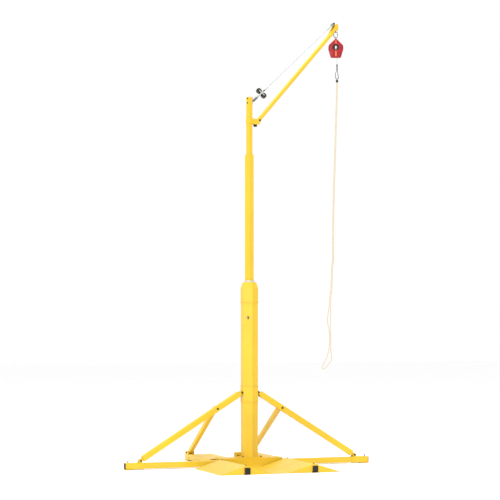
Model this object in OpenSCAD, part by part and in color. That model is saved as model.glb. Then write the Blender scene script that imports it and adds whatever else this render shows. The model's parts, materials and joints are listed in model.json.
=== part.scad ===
// Free-standing telescoping fall-arrest mast with a drive-on base, a swivelling jib boom,
// a stay with a coiled-strip energy absorber, and a self-retracting lifeline with its tagline.
// Origin: on the floor, on the mast's axis. +X runs along the outriggers, -Y is the ramp side, +Z is up.

/* [Base] */
// Half of the width over the outrigger tips
outrigger_reach = 1745; // [1300:5:2200]
// Outside size of the square base tubes
beam_size = 76; // [60:1:90]
// Wall of the square base tubes
beam_wall = 5; // [3:0.5:8]
// Thickness of the foot pads under the base tubes
pad_t = 12; // [8:1:30]
// Distance from the mast axis to each rail's centre line
rail_x = 465; // [400:5:620]
// How far the rails run forward of the mast axis
rail_front = 1220; // [1000:10:1500]
// How far the rails run behind the mast axis
rail_rear = 1260; // [1000:10:1600]
// How far the hub box reaches past the mast's front and rear corners
hub_margin = 12.8; // [8:0.1:60]
// How far the hub's top face stands above the base tubes
hub_rise = 33; // [28:1:60]

/* [Ramp plate] */
// Thickness of the folded ramp plate
ramp_t = 6; // [4:0.5:10]
// How far the two ridges stand above the base tubes
ridge_rise = 25.5; // [24:0.5:60]
// Distance from each ridge to the ramp's outer edge
ramp_run = 362; // [250:2:500]
// Half of the width of the flat wheel channel between the ridges
channel_half = 116; // [80:2:200]
// How far the ramp's front edge is from the mast axis
ramp_front = 1200; // [900:10:1400]
// How far the ramp's rear edge is from the mast axis
ramp_rear = 163; // [150:1:300]

/* [Braces] */
// Height of the brace bolts on the mast
brace_z = 995; // [800:5:1400]
// Distance from the mast axis to each brace's foot
brace_foot_x = 1534; // [1200:1:1680]
// Outside size of the square strut tubes
strut_size = 60; // [40:1:70]
// Diameter of the brace and strut bolts
brace_bolt_d = 16; // [12:1:20]

/* [Lower mast] */
// Size of the hexagonal lower mast across its flats
mast_af = 203; // [190:1:240]
// Wall of the lower mast
mast_wall = 6; // [4:0.5:8]
// Height of the top of the mast cap above the floor
mast_top = 2482; // [2300:2:2800]
// Height of the mast cap's sleeve, with its tapered top
cap_h = 278; // [200:2:400]
// Height of the mast cap's tapered top
cap_taper_h = 82; // [50:1:120]
// Height of the brace band
band_h = 217; // [150:1:300]
// Thickness of the brace band and of the cap's sleeve
sleeve_t = 3; // [2:0.5:6]
// How far the lips of the band and of the cap's sleeve stand out
lip_t = 4; // [2:0.5:8]
// Height of each lip
lip_h = 10; // [6:1:20]
// Distance from the mast cap's top down to the lock plunger
lock_drop = 479; // [400:1:700]
// Diameter of the lock plunger's pin
lock_d = 16; // [12:1:20]

/* [Upper mast] */
// Size of the square middle tube
mid_size = 88.9; // [80:0.1:95]
// Corner radius of the middle tube
mid_corner = 9; // [6:0.5:12]
// Wall of the middle tube
mid_wall = 5; // [3:0.5:8]
// Length of middle tube above the mast cap, with the mast fully raised
mid_exposed = 1742; // [1400:2:2100]
// Length of middle tube that stays inside the lower mast when it is fully raised
mid_overlap = 500; // [400:5:600]
// Size of the square top tube
top_size = 63.5; // [50:0.5:76]
// Corner radius of the top tube
top_corner = 6; // [4:0.5:10]
// Wall of the top tube
top_wall = 4; // [3:0.5:6]
// Length of top tube above the middle tube, with its cap
top_exposed = 786; // [650:2:950]
// Direction of the boom, anticlockwise from +X
boom_azimuth = 23; // [0:1:180]

/* [Boom and stay] */
// Outside size of the square boom tube
boom_size = 45; // [40:1:55]
// Wall of the boom tube
boom_wall = 4; // [3:0.5:6]
// Distance from the mast axis to the boom's pivot
pivot_reach = 168; // [140:1:220]
// Distance from the top of the mast down to the boom's pivot
pivot_drop = 304; // [240:2:400]
// Slope of the boom above level
boom_pitch = 43.7; // [35:0.1:50]
// Length of the boom tube from its pivot
boom_length = 2036; // [1600:2:2400]
// Thickness of the strips in the energy absorber
strip_t = 1.2; // [0.8:0.1:2]
// Outside diameter of each coil of strip
coil_d = 78; // [60:1:90]
// Width of each coil of strip
coil_w = 30; // [20:1:40]
// Turn of the absorber about the stay
absorber_roll = -25; // [-45:1:45]
// Diameter of the stay wire
wire_d = 8; // [5:0.5:12]

/* [Lifeline] */
// Diameter of the carabiner's rod
carabiner_rod = 11; // [9:0.5:13]
// Height of the carabiner over its rod
carabiner_h = 93; // [85:1:120]
// Width of the carabiner over its rod
carabiner_w = 70; // [60:1:90]
// Width of the lifeline's housing
housing_w = 214; // [180:2:260]
// Height of the lifeline's housing
housing_h = 274; // [240:2:320]
// Thickness of the lifeline's housing
housing_t = 96; // [80:2:130]
// Diameter of the cable drum
drum_d = 84; // [70:2:100]
// Diameter of the lifeline cable
cable_d = 5; // [4:0.5:8]
// Length of cable between the housing and the hook's swivel
cable_free = 132; // [100:2:200]
// Diameter of the tagline rope
rope_d = 11; // [8:0.5:14]
// Turn of the carabiner, lifeline and tagline about the vertical
lifeline_yaw = -20; // [-90:1:90]

/* [Hidden] */
$fn = 48;

yellow = [0.96, 0.80, 0.20];
steel = [0.62, 0.63, 0.64];
dark = [0.12, 0.12, 0.11];
run_gap = 0.06;    // radial clearance of a turning fit
slide_gap = 0.6;   // clearance each side of a sliding tube
face_gap = 0.5;    // clearance between faces of moving pieces

// Base
beam_half = beam_size / 2;
beam_top = pad_t + beam_size;
hub_half = rail_x - beam_half;
hex_r = mast_af / 2 / cos(30);
hub_y = hex_r + hub_margin;
hub_depth = 2 * hub_y;
hub_top = beam_top + hub_rise;
ridge_z = beam_top + ridge_rise;
hub_plate = 10;
outrigger_start = rail_x + beam_half;
tip_bolt_x = outrigger_reach - 45;
tip_sleeve_t = 4;  // wall of the sleeve at each outrigger's tip, which stands on a thinner pad
bolt12_d = 12;
hole_gap = 0.4;    // extra diameter of a bolt hole
plug_t = 6;
beam_corner = 7;
rear_bolt_y = rail_rear - 40;
bracket_l = 150;
bracket_t = 7;
bracket_top = beam_top + 47;
strut_foot_y = rail_rear - 90;
strut_foot_z = beam_top + 26;
deck_t = 5;
deck_inner_x = rail_x - 215;
deck_outer_x = rail_x + beam_half + deck_t + 1;
deck_rear = rail_rear - bracket_l - 12;
deck_top_outer = beam_top + 11;
deck_top_inner = beam_top + 26;

// Braces
fork_t = 8;
lug_x = mast_af / 2 + sleeve_t + 13.5;
lug_t = beam_size - 2 * fork_t - 2;
brace_foot_z = beam_top + 28;
brace_run = brace_foot_x - lug_x;
brace_rise = brace_z - brace_foot_z;
brace_pitch = atan2(brace_rise, brace_run);
brace_len = sqrt(brace_run * brace_run + brace_rise * brace_rise);
strut_top_z = brace_z - (rail_x - lug_x) * brace_rise / brace_run;
strut_top_y = beam_half + 42;
strut_run = strut_foot_y - strut_top_y;
strut_rise = strut_top_z - strut_foot_z;
strut_pitch = atan2(strut_rise, strut_run);
strut_len = sqrt(strut_run * strut_run + strut_rise * strut_rise);

// Mast
lock_z = mast_top - lock_drop;
mid_top = mast_top + mid_exposed;
head_top = mid_top + top_exposed;
pivot_z = head_top - pivot_drop;
sleeve_af = mast_af + 2 * sleeve_t + 0.4;
flange_t = 12;
mast_foot = hub_top;
hinge_y = hub_y + 28;
hinge_z = mast_foot + 34;
hinge_pin_d = 20;
hinge_lug_w = 40;
hinge_cheek_w = 120;
hinge_cheek_x = hinge_lug_w / 2 + 2 + hinge_cheek_w / 2;
hinge_half_w = hinge_cheek_x + hinge_cheek_w / 2;
shoe_h = 90;
bush_r = mid_size / 2 * sqrt(2) - mid_corner * (sqrt(2) - 1) + 7;
bush_flange_t = 24;
bush_depth = 90;
bush_seat = mast_top + face_gap;
mid_bottom = mast_top - mid_overlap;
head_cap_t = 12;
bracket_h = 76;
bracket_gap = boom_size + 2 * face_gap;
cheek_t = 7;

// Boom and stay
tip_reach = pivot_reach + boom_length * cos(boom_pitch);
tip_z = pivot_z + boom_length * sin(boom_pitch);
anchor_reach = tip_reach + 60;
anchor_hole_r = 12;
anchor_z = tip_z + 11;
eye_reach = top_size / 2 + 43;
eye_z = head_top - 44;
stay_pin_d = 12;
stay_pin_reach = tip_reach + 10;
stay_pin_z = tip_z + 119;
stay_dx = stay_pin_reach - eye_reach;
stay_dz = stay_pin_z - eye_z;
stay_pitch = atan2(stay_dz, stay_dx);
stay_len = sqrt(stay_dx * stay_dx + stay_dz * stay_dz);
coil_u = 191;
coil_v = coil_d / 2 + strip_t + 4.3;
frame_y = coil_w / 2 + 2;
strip_w = coil_w - 3;
clamp_u = coil_u + coil_d / 2 + 18;
open_gap = 3;      // clearance of the stay's open upper pivot

// Lifeline
rod_r = carabiner_rod / 2;
rod_top_z = anchor_z - anchor_hole_r + rod_r + face_gap;
rod_bottom_z = rod_top_z - carabiner_h + carabiner_rod;
swivel_hole_r = rod_r + 2.5;
swivel_z = rod_bottom_z - swivel_hole_r + rod_r + face_gap;
housing_top = swivel_z - swivel_hole_r - 6.5;
housing_bottom = housing_top - housing_h;
drum_z = housing_bottom + housing_h * 0.54;
hub_cap_d = 92;
axle_d = 20;
line_x = 16;
drum_flange_r = drum_d / 2 + 1.2 * cable_d;
stop_z = housing_bottom - cable_free;
hook_top = stop_z - 14;
hook_len = 167;
hook_rod = 11;
hook_bow = 21;
hook_neck_z = hook_top - 62;
hook_bow_z = hook_top - hook_len + hook_rod / 2 + hook_bow;
ring_z = hook_top - hook_len + hook_rod / 2 - 2.9;
rope_top = ring_z - 44.6;

// Tagline: offset across the view and height of the hand-laid route, down one strand and up the other
strand_gap = rope_d + 2;
rope_route = [[-7, 0], [-7, -60], [-9, -130], [-22, -530], [-36, -960], [-52, -1410], [-64, -1830],
    [-72, -2190], [-71, -2540], [-84, -2650], [-96, -2960], [-110, -3070], [-118, -3190], [-146, -3420],
    [-126, -3540], [-114, -3684], [-127, -3828], [-150, -3928], [-204, -4043], [-226, -4084],
    [-215, -4108], [-190, -4106], [-160, -4078], [-108, -4014], [-86, -3965], [-92, -3900],
    [-100, -3828], [-98, -3684], [-104, -3540], [-102, -3420], [-100, -3190], [-92, -3070], [-80, -2960],
    [-68, -2650], [-56, -2540], [-56, -2190], [-49, -1830], [-37, -1410], [-21, -960], [-7, -530],
    [5, -130], [7, -60], [7, 0]];
rope_rings_per_leg = 2;
rope_sides = 8;

// Square tube with rounded corners, along +Z from z = 0
module square_bar(size, corner, length) {
    linear_extrude(length) {
        square([size - 2 * corner, size], center = true);
        square([size, size - 2 * corner], center = true);
        for (sx = [-1, 1], sy = [-1, 1])
            translate([sx, sy] * (size / 2 - corner)) circle(corner);
    }
}

module square_tube(size, corner, wall, length) {
    difference() {
        square_bar(size, corner, length);
        translate([0, 0, -1]) square_bar(size - 2 * wall, max(corner - wall, 0.5), length + 2);
    }
}

module hex_prism(af, length) {
    rotate([0, 0, 30]) cylinder(r = af / 2 / cos(30), h = length, $fn = 6);
}

module hex_tube(af, wall, length) {
    difference() {
        hex_prism(af, length);
        translate([0, 0, -1]) hex_prism(af - 2 * wall, length + 2);
    }
}

// Hexagon bolt along +Z with its head below z = 0 and a nut above the grip
module bolt(d, grip, nut = true) {
    head_af = 1.5 * d;
    translate([0, 0, -0.65 * d]) hex_prism(head_af, 0.65 * d);
    translate([0, 0, -1]) cylinder(d = d, h = grip + 1 + (nut ? 1.1 * d : 0));
    if (nut) translate([0, 0, grip]) hex_prism(head_af, 0.8 * d);
}

// Plate in the XZ plane, centred on y = 0
module upright(t) {
    rotate([90, 0, 0]) translate([0, 0, -t / 2]) linear_extrude(t) children();
}

// Flat bar between two points of a 2D outline, with round ends
module link(a, b, r) {
    d = b - a;
    translate(a) rotate(atan2(d[1], d[0])) translate([0, -r]) square([norm(d), 2 * r]);
    translate(a) circle(r);
    translate(b) circle(r);
}

module beam_along_x(x0, x1) {
    translate([x0, 0, pad_t + beam_half]) rotate([0, 90, 0])
        square_tube(beam_size, beam_corner, beam_wall, x1 - x0);
}

module beam_along_y(x, y0, y1) {
    translate([x, y0, pad_t + beam_half]) rotate([-90, 0, 0])
        square_tube(beam_size, beam_corner, beam_wall, y1 - y0);
}

// ---- base ----

module hub() {
    color(yellow) difference() {
        union() {
            translate([-hub_half, -hub_y, 0]) cube([2 * hub_half, hub_depth, hub_plate]);
            difference() {
                translate([-hub_half, -hub_y, 0]) cube([2 * hub_half, hub_depth, hub_top]);
                translate([-hub_half + 8, -hub_y + 8, hub_plate])
                    cube([2 * hub_half - 16, hub_depth - 16, hub_top - hub_plate - 12]);
            }
        }
        for (sx = [-1, 1], sy = [-1, 1])
            translate([sx * flange_bolt_x(), sy * flange_bolt_y(), hub_top - 30])
                cylinder(d = brace_bolt_d + hole_gap, h = 60);
    }
}

function flange_bolt_x() = mast_af / 2 + 28;
function flange_bolt_y() = hub_y - 35;

module rail(side) {
    color(yellow) difference() {
        beam_along_y(side * rail_x, -rail_front + plug_t, rail_rear);
        for (y = ramp_bolt_y())
            translate([side * rail_x, y, 0]) cylinder(d = bolt12_d + hole_gap, h = ridge_z);
        translate([side * rail_x, rear_bolt_y, 0]) cylinder(d = bolt12_d + hole_gap, h = beam_top + 20);
    }
}

module left_rail() rail(-1);
module right_rail() rail(1);

function ramp_bolt_y() = [-ramp_rear - 57, -ramp_front + 45];

// Plastic plug for an open tube end: its flange lies above z = 0 and its spigot goes down into the tube
module tube_plug() {
    square_bar(beam_size, beam_corner, plug_t);
    translate([0, 0, -22]) square_bar(beam_size - 2 * beam_wall - 0.4, 3, 23);
}

module tube_end_caps() {
    color(dark) {
        for (side = [-1, 1]) {
            translate([side * rail_x, -rail_front + plug_t, pad_t + beam_half]) rotate([90, 0, 0])
                tube_plug();
            translate([side * rail_x, rail_rear, pad_t + beam_half]) rotate([-90, 0, 0]) tube_plug();
            translate([side * (outrigger_reach - plug_t), 0, pad_t + beam_half])
                rotate([0, side * 90, 0]) tube_plug();
        }
    }
}

// Two cheeks that hold a strut's foot over the end of each rail
module rear_brackets() {
    color(yellow) for (side = [-1, 1], cheek = [-1, 1])
        translate([side * rail_x + cheek * (beam_half + bracket_t / 2 + 0.2), 0, 0]) difference() {
            translate([-bracket_t / 2, rail_rear - bracket_l, pad_t])
                cube([bracket_t, bracket_l, bracket_top - pad_t]);
            translate([-bracket_t, rail_rear - bracket_l - 1, bracket_top])
                rotate([-22, 0, 0]) cube([2 * bracket_t, 60, 60]);
            translate([-bracket_t, strut_foot_y, strut_foot_z]) rotate([0, 90, 0])
                cylinder(d = brace_bolt_d + hole_gap, h = 2 * bracket_t);
        }
}

// Half of the folded ramp's cross-section: outer edge, ridge, wheel channel
module ramp_outline() {
    outer_x = rail_x + ramp_run;
    polygon([[outer_x, 0], [rail_x, ridge_z], [channel_half, ramp_t], [-1, ramp_t], [-1, 0],
        [channel_half + 2, 0], [rail_x, ridge_z - ramp_t * 1.05], [outer_x - 20, 0]]);
}

module ramp_gable() {
    outer_x = rail_x + ramp_run;
    polygon([[outer_x - 24, 0], [rail_x, ridge_z - 6], [channel_half + 6, 0]]);
}

module ramp_plate() {
    notch = beam_half + 1.5;
    color(yellow) difference() {
        for (side = [0, 1]) mirror([side, 0, 0]) {
            translate([0, -ramp_rear, 0]) rotate([90, 0, 0])
                linear_extrude(ramp_front - ramp_rear) ramp_outline();
            translate([0, -ramp_front + ramp_t, 0]) rotate([90, 0, 0]) linear_extrude(ramp_t) ramp_gable();
        }
        for (side = [-1, 1]) {
            translate([side * rail_x - notch, -ramp_front - 1, -1])
                cube([2 * notch, ramp_t + 2, beam_top + 2.5]);
            for (y = ramp_bolt_y())
                translate([side * rail_x, y, beam_top]) cylinder(d = bolt12_d + hole_gap, h = 60);
        }
    }
}

// Ramp bolts over the rails, and foot bolts at the outrigger tips and the rails' rear ends
module base_bolts() {
    color(dark) for (side = [-1, 1]) {
        for (y = ramp_bolt_y())
            translate([side * rail_x, y, ridge_z + 0.2]) mirror([0, 0, 1]) bolt(bolt12_d, 40, false);
        translate([side * tip_bolt_x, 0, beam_top + 20]) mirror([0, 0, 1])
            bolt(bolt12_d, beam_size + 26, false);
        translate([side * rail_x, rear_bolt_y, beam_top + 0.2]) mirror([0, 0, 1])
            bolt(bolt12_d, beam_size + 6, false);
    }
}

// Folded deck over the rear half of each rail; its top falls towards the rear
module rear_deck(side) {
    color(yellow) mirror_side(side) difference() {
        translate([0, hub_y + 5, 0]) mirror([0, 1, 0]) rotate([90, 0, 0])
            linear_extrude(deck_rear - hub_y - 5)
                polygon([[deck_inner_x, 0], [deck_inner_x, deck_top_inner], [deck_outer_x, deck_top_outer],
                    [deck_outer_x, beam_top - 40], [deck_outer_x - deck_t, beam_top - 40],
                    [deck_outer_x - deck_t, deck_top_outer - deck_t],
                    [deck_inner_x + deck_t, deck_top_inner - deck_t - 1], [deck_inner_x + deck_t, 0]]);
        translate([0, deck_rear - 300, deck_top_inner + 12])
            rotate([-7, 0, 0]) cube([rail_x + 200, 400, 60]);
    }
}

module mirror_side(side) {
    mirror([side < 0 ? 1 : 0, 0, 0]) children();
}

module left_rear_deck() rear_deck(-1);
module right_rear_deck() rear_deck(1);

// Outrigger with its welded end flange, brace lug and tip sleeve
module outrigger(side) {
    color(yellow) mirror_side(side) difference() {
        union() {
            beam_along_x(outrigger_start + 0.3, outrigger_reach - plug_t);
            translate([tip_bolt_x - 205, 0, pad_t + beam_half]) rotate([0, 90, 0])
                square_tube(beam_size + 2 * tip_sleeve_t, 9, tip_sleeve_t, 230);
            translate([outrigger_start + 0.3, -62, pad_t]) cube([10, 124, beam_size]);
            for (sy = [-1, 1])
                translate([brace_foot_x, sy * (beam_half - fork_t / 2), 0]) upright(fork_t) difference() {
                    union() {
                        translate([-36, beam_top - 25]) square([72, 29]);
                        translate([-22, beam_top]) square([44, brace_foot_z - beam_top]);
                        translate([0, brace_foot_z]) circle(22);
                    }
                    translate([0, brace_foot_z]) circle(d = brace_bolt_d + hole_gap);
                }
        }
        translate([tip_bolt_x, 0, -1]) cylinder(d = bolt12_d + hole_gap, h = beam_top + 20);
        translate([outrigger_start - 1, -beam_half + beam_wall, pad_t + beam_wall])
            cube([12, beam_size - 2 * beam_wall, beam_size - 2 * beam_wall]);
    }
}

module left_outrigger() outrigger(-1);
module right_outrigger() outrigger(1);

module foot_pads() {
    color(yellow) for (side = [-1, 1]) mirror_side(side) {
        difference() {
            translate([tip_bolt_x - 70, -50, 0]) cube([110, 100, pad_t - tip_sleeve_t]);
            translate([tip_bolt_x, 0, -1]) cylinder(d = bolt12_d + hole_gap, h = pad_t + 2);
        }
        difference() {
            translate([rail_x - 50, rail_rear - 90, 0]) cube([100, 90, pad_t]);
            translate([rail_x, rear_bolt_y, -1]) cylinder(d = bolt12_d + hole_gap, h = pad_t + 2);
        }
    }
}

// ---- braces and struts ----

// Brace from the mast lug down to the outrigger, with forked ends
module brace(side) {
    color(yellow) mirror_side(side) translate([lug_x, 0, brace_z]) rotate([0, brace_pitch, 0]) difference() {
        union() {
            translate([48, 0, 0]) rotate([0, 90, 0])
                square_tube(beam_size, beam_corner, beam_wall, brace_len - 92);
            for (sy = [-1, 1]) translate([0, sy * (beam_half - fork_t / 2 - 0.2), 0]) upright(fork_t - 1) {
                link([0, 0], [60, 0], 12);
                polygon([[8, -12], [30, -26], [60, -26], [60, 26], [30, 26], [8, 12]]);
            }
            translate([brace_len - 52, -beam_half + 1, -beam_half + 1])
                cube([8, beam_size - 2, beam_size - 2]);
            translate([brace_len - 50, 0, 0]) upright(lug_t - 4) link([0, 0], [50, 0], 20);
        }
        for (u = [0, brace_len, (rail_x - lug_x) / cos(brace_pitch)])
            translate([u, 0, 0]) rotate([90, 0, 0])
                cylinder(d = brace_bolt_d + hole_gap, h = beam_size + 20, center = true);
    }
}

module left_brace() brace(-1);
module right_brace() brace(1);

// Strut from the back of a brace down to the rear end of a rail
module strut(side) {
    color(yellow) translate([side * rail_x, 0, 0]) difference() {
        union() {
            translate([0, strut_top_y, strut_top_z]) rotate([-strut_pitch, 0, 0])
                translate([0, 20, 0]) rotate([-90, 0, 0])
                    square_tube(strut_size, 6, 4, strut_len - 20);
            translate([0, strut_top_y, strut_top_z]) rotate([-strut_pitch, 0, 0])
                translate([-strut_size / 2, 16, -strut_size / 2]) cube([strut_size, 6, strut_size]);
            translate([-strut_size / 2, beam_half + 0.4, strut_top_z - 38]) cube([strut_size, 8, 76]);
            for (sx = [-1, 1]) translate([sx * (strut_size / 2 - 4), beam_half + 4, strut_top_z - 38])
                cube([4, 60, 30]);
        }
        translate([0, beam_half - 1, strut_top_z]) rotate([-90, 0, 0])
            cylinder(d = brace_bolt_d + hole_gap, h = 12);
        translate([-strut_size, strut_foot_y, strut_foot_z]) rotate([0, 90, 0])
            cylinder(d = brace_bolt_d + hole_gap, h = 2 * strut_size);
    }
}

module left_strut() strut(-1);
module right_strut() strut(1);

module brace_bolts() {
    color(dark) for (side = [-1, 1]) {
        for (p = [[lug_x, brace_z], [brace_foot_x, brace_foot_z]])
            translate([side * p[0], -beam_half - 0.2, p[1]]) rotate([-90, 0, 0])
                bolt(brace_bolt_d, beam_size + 0.4);
        translate([side * rail_x, -beam_half - 0.2, strut_top_z]) rotate([-90, 0, 0])
            bolt(brace_bolt_d, beam_size + 8.8);
        translate([side * rail_x - beam_half - bracket_t - 0.4, strut_foot_y, strut_foot_z])
            rotate([0, 90, 0])
            bolt(brace_bolt_d, beam_size + 2 * bracket_t + 0.8);
    }
}

// ---- lower mast ----

module lower_mast() {
    color(yellow) difference() {
        union() {
            translate([0, 0, mast_foot]) hex_tube(mast_af, mast_wall, mast_top - cap_taper_h - mast_foot);
            translate([-mast_af / 2 - 48, -hub_y + 12, mast_foot])
                cube([mast_af + 96, hub_depth - 24, flange_t]);
            translate([-hinge_lug_w / 2, hub_y - 13, mast_foot])
                cube([hinge_lug_w, 61, hinge_z + 24 - mast_foot]);
        }
        for (sx = [-1, 1], sy = [-1, 1])
            translate([sx * flange_bolt_x(), sy * flange_bolt_y(), mast_foot - 1])
                cylinder(d = brace_bolt_d + hole_gap, h = flange_t + 2);
        translate([-hinge_lug_w, hinge_y, hinge_z]) rotate([0, 90, 0])
            cylinder(d = hinge_pin_d + hole_gap, h = 2 * hinge_lug_w);
        lock_axis() translate([0, 0, -1]) cylinder(d = lock_housing_d(), h = 40);
    }
}

// Puts +Z outward through the middle of the front-left flat at the lock's height
module lock_axis() {
    rotate([0, 0, 240]) translate([mast_af / 2 - mast_wall + 0.3, 0, lock_z]) rotate([0, 90, 0]) children();
}

function lock_housing_d() = lock_d + 10;

module flange_bolts() {
    color(dark) for (sx = [-1, 1], sy = [-1, 1])
        translate([sx * flange_bolt_x(), sy * flange_bolt_y(), mast_foot + flange_t + 0.2])
            mirror([0, 0, 1]) bolt(brace_bolt_d, flange_t + 12.2);
}

// Hexagonal band with the two pairs of brace lugs
module brace_band() {
    color(yellow) difference() {
        union() {
            translate([0, 0, brace_z - band_h / 2 - 18]) hex_tube(sleeve_af, sleeve_t, band_h);
            for (z = [0, band_h - lip_h]) translate([0, 0, brace_z - band_h / 2 - 18 + z])
                hex_tube(sleeve_af + 2 * lip_t, lip_t + 1, lip_h);
            for (side = [-1, 1]) translate([side * (mast_af / 2 + sleeve_t - 1), 0, brace_z]) upright(lug_t)
                link([0, 0], [side * (lug_x - mast_af / 2 - sleeve_t + 1), 0], 22);
        }
        hex_prism(mast_af + 0.4, mast_top);
        for (side = [-1, 1]) translate([side * lug_x, 0, brace_z]) rotate([90, 0, 0])
            cylinder(d = brace_bolt_d + hole_gap, h = beam_size + 20, center = true);
    }
}

// Cap sleeve with a tapered top and the round seat of the turning bush
module mast_cap() {
    outer_r = sleeve_af / 2 / cos(30);
    color(yellow) difference() {
        union() {
            translate([0, 0, mast_top - cap_h]) hex_tube(sleeve_af, sleeve_t, cap_h - cap_taper_h + 0.5);
            translate([0, 0, mast_top - cap_h]) hex_tube(sleeve_af + 2 * lip_t, lip_t + 1, lip_h);
            translate([0, 0, mast_top - cap_taper_h]) rotate([0, 0, 30])
                cylinder(r1 = outer_r, r2 = 0.78 * outer_r, h = cap_taper_h, $fn = 6);
        }
        translate([0, 0, mast_top - cap_taper_h - 40]) cylinder(r = bush_r + run_gap, h = cap_taper_h + 41);
    }
}

// Cheeks of the tilt hinge on the back of the hub
module hinge_block() {
    color(yellow) difference() {
        union() {
            for (side = [-1, 1]) translate([side * hinge_cheek_x - hinge_cheek_w / 2, hub_y + 0.3, pad_t])
                cube([hinge_cheek_w, 96, hinge_z + 23 - pad_t]);
        }
        translate([-hinge_half_w - 6, hinge_y, hinge_z]) rotate([0, 90, 0])
            cylinder(d = hinge_pin_d + hole_gap, h = 2 * hinge_half_w + 12);
    }
}

module hinge_pin() {
    color(steel) translate([2 - hinge_half_w, hinge_y, hinge_z]) rotate([0, 90, 0]) {
        cylinder(d = hinge_pin_d, h = 2 * hinge_half_w);
        translate([0, 0, 2 * hinge_half_w - 1]) cylinder(d = 1.5 * hinge_pin_d, h = 7);
    }
}

module lock_housing() {
    color(dark) lock_axis() difference() {
        union() {
            cylinder(d = lock_housing_d() - 0.4, h = mast_wall + 16);
            translate([0, 0, mast_wall]) cylinder(r = lock_housing_d() / 2 + 4, h = 9, $fn = 6);
        }
        translate([0, 0, -1]) cylinder(d = lock_d + 2 * run_gap, h = 60);
    }
}

module lock_plunger() {
    color(steel) lock_axis() {
        translate([0, 0, 0.2]) cylinder(d = lock_d, h = 46);
        translate([0, 0, 36]) rotate([0, 90, 0]) cylinder(d = 9, h = 44, center = true);
    }
}

// ---- upper mast, in the boom's direction ----

module boom_frame() {
    rotate([0, 0, boom_azimuth]) children();
}

module upper_bush() {
    color([0.85, 0.85, 0.82]) boom_frame() difference() {
        union() {
            translate([0, 0, mast_top - bush_depth]) cylinder(r = bush_r, h = bush_depth + face_gap + 1);
            translate([0, 0, bush_seat]) cylinder(r = bush_r + 5, h = bush_flange_t);
        }
        translate([0, 0, mast_top - bush_depth - 1])
            square_bar(mid_size + 2 * slide_gap, mid_corner, bush_depth + bush_flange_t + 10);
    }
}

module mid_tube() {
    color(yellow) boom_frame() difference() {
        union() {
            translate([0, 0, mid_bottom]) square_tube(mid_size, mid_corner, mid_wall, mid_top - mid_bottom);
            translate([0, 0, mid_top - 8]) square_bar(mid_size - 1, mid_corner, 8);
            translate([0, 0, mid_top - 320]) square_bar(mid_size - 2 * mid_wall + 1, 4, 8);
        }
        translate([0, 0, mid_top - 330]) square_bar(top_size + 0.4, top_corner, 340);
    }
}

// Round guide shoe on the foot of the middle tube
module slide_shoe() {
    shoe_r = mast_af / 2 - mast_wall - slide_gap;
    color([0.85, 0.85, 0.82]) boom_frame() difference() {
        translate([0, 0, mid_bottom - 12]) cylinder(r = shoe_r, h = shoe_h);
        translate([0, 0, mid_bottom - 0.2]) square_bar(mid_size + 0.4, mid_corner, shoe_h);
        translate([0, 0, mid_bottom - 20]) cylinder(r = mid_size / 2 - 10, h = 40);
    }
}

module top_tube() {
    color(yellow) boom_frame() difference() {
        translate([0, 0, mid_top - 318])
            square_tube(top_size, top_corner, top_wall, head_top - mid_top + 318 - 6);
        for (z = eye_bolt_z()) translate([-top_size, 0, z]) rotate([0, 90, 0])
            cylinder(d = bolt12_d + hole_gap, h = 2 * top_size);
    }
}

function eye_bolt_z() = [eye_z - 37, eye_z + 25];

module top_cap() {
    color(yellow) boom_frame() difference() {
        union() {
            translate([0, 0, head_top - 6]) square_bar(top_size, top_corner, 6);
            translate([0, 0, head_top - head_cap_t])
                square_bar(top_size - 2 * top_wall - 0.4, 3, head_cap_t - 5);
        }
        translate([0, 0, head_top - head_cap_t - 1]) cylinder(d = 30, h = 5);
    }
}

// Collar round the top tube with the two cheeks that carry the boom's pivot
module boom_bracket() {
    collar = top_size + 9;
    cheek_y = bracket_gap / 2 + cheek_t / 2;
    color(yellow) boom_frame() difference() {
        union() {
            translate([0, 0, pivot_z - bracket_h + 15]) square_bar(collar, top_corner + 4, bracket_h);
            for (sy = [-1, 1]) translate([0, sy * cheek_y, pivot_z]) upright(cheek_t)
                polygon([[collar / 2 - 3, 13 - bracket_h], [pivot_reach - 12, 13 - bracket_h],
                    [pivot_reach + 20, -12], [pivot_reach + 20, 8], [pivot_reach + 10, 16],
                    [collar / 2 - 3, 12]]);
            translate([collar / 2 - 3, -cheek_y, pivot_z - bracket_h + 17])
                cube([pivot_reach - collar / 2 - 42, 2 * cheek_y, 6]);
        }
        translate([0, 0, pivot_z - bracket_h]) square_bar(top_size + 0.4, top_corner, bracket_h + 40);
        translate([pivot_reach, 0, pivot_z]) rotate([90, 0, 0])
            cylinder(d = brace_bolt_d + 0.1, h = 120, center = true);
    }
}

module bracket_plug() {
    color(dark) boom_frame() translate([110, 0, pivot_z - bracket_h + 16.8 - 32])
        square_bar(38, 5, 32);
}

module stay_eye() {
    plate_x = top_size / 2 + 0.2;
    color(steel) boom_frame() difference() {
        union() {
            translate([plate_x, -24, eye_z - 56]) cube([8, 48, 98]);
            translate([0, 0, eye_z]) upright(8) {
                translate([plate_x + 2, -14]) square([eye_reach - plate_x - 2, 28]);
                translate([eye_reach, 0]) circle(14);
            }
        }
        translate([eye_reach, 0, eye_z]) rotate([90, 0, 0])
            cylinder(d = stay_pin_d + 0.12, h = 30, center = true);
        for (z = eye_bolt_z()) translate([plate_x - 1, 0, z]) rotate([0, 90, 0])
            cylinder(d = bolt12_d + hole_gap, h = 12);
    }
}

module eye_bolts() {
    color(dark) boom_frame() for (z = eye_bolt_z())
        translate([-top_size / 2 - 0.2, 0, z]) rotate([0, 90, 0]) bolt(bolt12_d, top_size + 8.4 + 0.4);
}

// ---- boom ----

module boom_axis() {
    boom_frame() translate([pivot_reach, 0, pivot_z]) rotate([0, -boom_pitch, 0]) children();
}

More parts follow.
